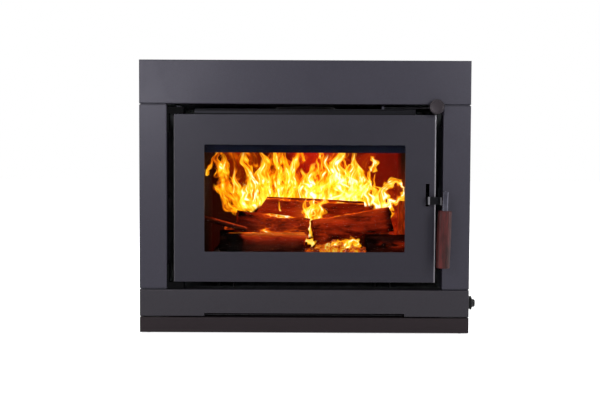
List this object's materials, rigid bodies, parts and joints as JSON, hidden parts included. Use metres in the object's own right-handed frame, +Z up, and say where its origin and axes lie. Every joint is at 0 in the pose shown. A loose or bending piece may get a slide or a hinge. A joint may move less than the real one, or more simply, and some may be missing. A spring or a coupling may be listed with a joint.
{
  "type": "fireplace insert",
  "caption": "Inbuilt wood heater with a folded charcoal fascia, hinged glass door, lift latch with a wooden grip, sliding air control, bricked firebox and convection fan.",
  "frame": {"origin": "underside of the base pan, on the middle plane, in the wall plane behind the fascia", "axes": "+X to the right seen from the room, +Y back into the fireplace, +Z up along the flue"},
  "size_m": [0.8374, 0.5672, 0.6795],
  "materials": {
    "fascia_paint": "satin metallic charcoal paint",
    "plinth_paint": "satin dark charcoal paint",
    "casing_sheet": "zinc-coated sheet",
    "firebox_steel": "matte black heat-proof paint",
    "latch_steel": "satin dark grey paint",
    "bright_steel": "zinc-plated",
    "air_knob_paint": "satin grey-brown metallic",
    "fire_brick": "sooty refractory brick",
    "ember": "ash and glowing embers",
    "log_wood": "split hardwood with bark",
    "grip_wood": "oiled red hardwood",
    "window_glass": "clear ceramic glass",
    "seal_rope": "woven glass fibre",
    "black_plastic": "satin moulded plastic",
    "fan_sheet": "mill finish",
    "motor_paint": "grey enamel"
  },
  "bodies": {
    "heater": {"air_box": "firebox_steel", "airwash_plate": "firebox_steel", "baffle_plate": "firebox_steel", "base_pan": "casing_sheet", "cable_gland": "black_plastic", "casing_back": "casing_sheet", "casing_left": "casing_sheet", "casing_right": "casing_sheet", "casing_screws": "bright_steel", "casing_top": "casing_sheet", "door_catch": "latch_steel", "ember_bed": "ember", "fan_deck": "casing_sheet", "fan_end_plates": "fan_sheet", "fan_motor": "motor_paint", "fan_scroll": "fan_sheet", "fascia_left": "fascia_paint", "fascia_lower": "fascia_paint", "fascia_right": "fascia_paint", "fascia_screws": "bright_steel", "fascia_top": "fascia_paint", "firebox_back": "firebox_steel", "firebox_floor": "firebox_steel", "firebox_front": "firebox_steel", "firebox_left": "firebox_steel", "firebox_rails": "firebox_steel", "firebox_right": "firebox_steel", "firebox_top": "firebox_steel", "firewood": "log_wood", "floor_bricks": "fire_brick", "flue_bolts": "bright_steel", "flue_spigot": "firebox_steel", "hinge_lugs": "firebox_steel", "hinge_pins": "bright_steel", "levelling_bolts": "bright_steel", "log_bar": "firebox_steel", "plinth_feet": "bright_steel", "plinth_panel": "plinth_paint", "speed_control": "black_plastic", "wall_bricks": "fire_brick"},
    "door": {"door_panel": "fascia_paint", "door_glass": "window_glass", "glass_gasket": "seal_rope", "glass_clips": "bright_steel", "clip_screws": "bright_steel", "seal_frame": "firebox_steel", "rope_seal": "seal_rope", "hinge_blocks": "firebox_steel", "latch_cheeks": "latch_steel", "latch_pin": "bright_steel"},
    "latch": {"latch_lever": "latch_steel", "handle_strap": "latch_steel", "handle_rod": "latch_steel", "handle_grip": "grip_wood"},
    "air_slide": {"air_damper": "firebox_steel", "air_rod": "latch_steel", "air_knob": "air_knob_paint"},
    "fan_control": {"fan_knob": "black_plastic", "knob_shaft": "bright_steel"},
    "fan_rotor": {"fan_impeller": "fan_sheet"}
  },
  "joints": [
    {"name": "door_hinge", "type": "hinge", "parent": "heater", "child": "door", "pos_m": [-0.315, -0.03, 0.33775], "axis": [0, 0, -1], "range_deg": [0, 115]},
    {"name": "latch_lift", "type": "hinge", "parent": "door", "child": "latch", "pos_m": [0.3045, -0.026, 0.33475], "axis": [-1, 0, 0], "range_deg": [0, 40]},
    {"name": "air_control", "type": "slide", "parent": "heater", "child": "air_slide", "axis": [-1, 0, 0], "range_m": [0, 0.065]},
    {"name": "fan_speed", "type": "hinge", "parent": "heater", "child": "fan_control", "pos_m": [0.41, -0.0225, 0.077], "axis": [1, 0, 0], "range_deg": [0, 270]},
    {"name": "fan_spin", "type": "hinge", "parent": "heater", "child": "fan_rotor", "pos_m": [0, 0.33, 0.056], "axis": [1, 0, 0], "continuous": true}
  ]
}
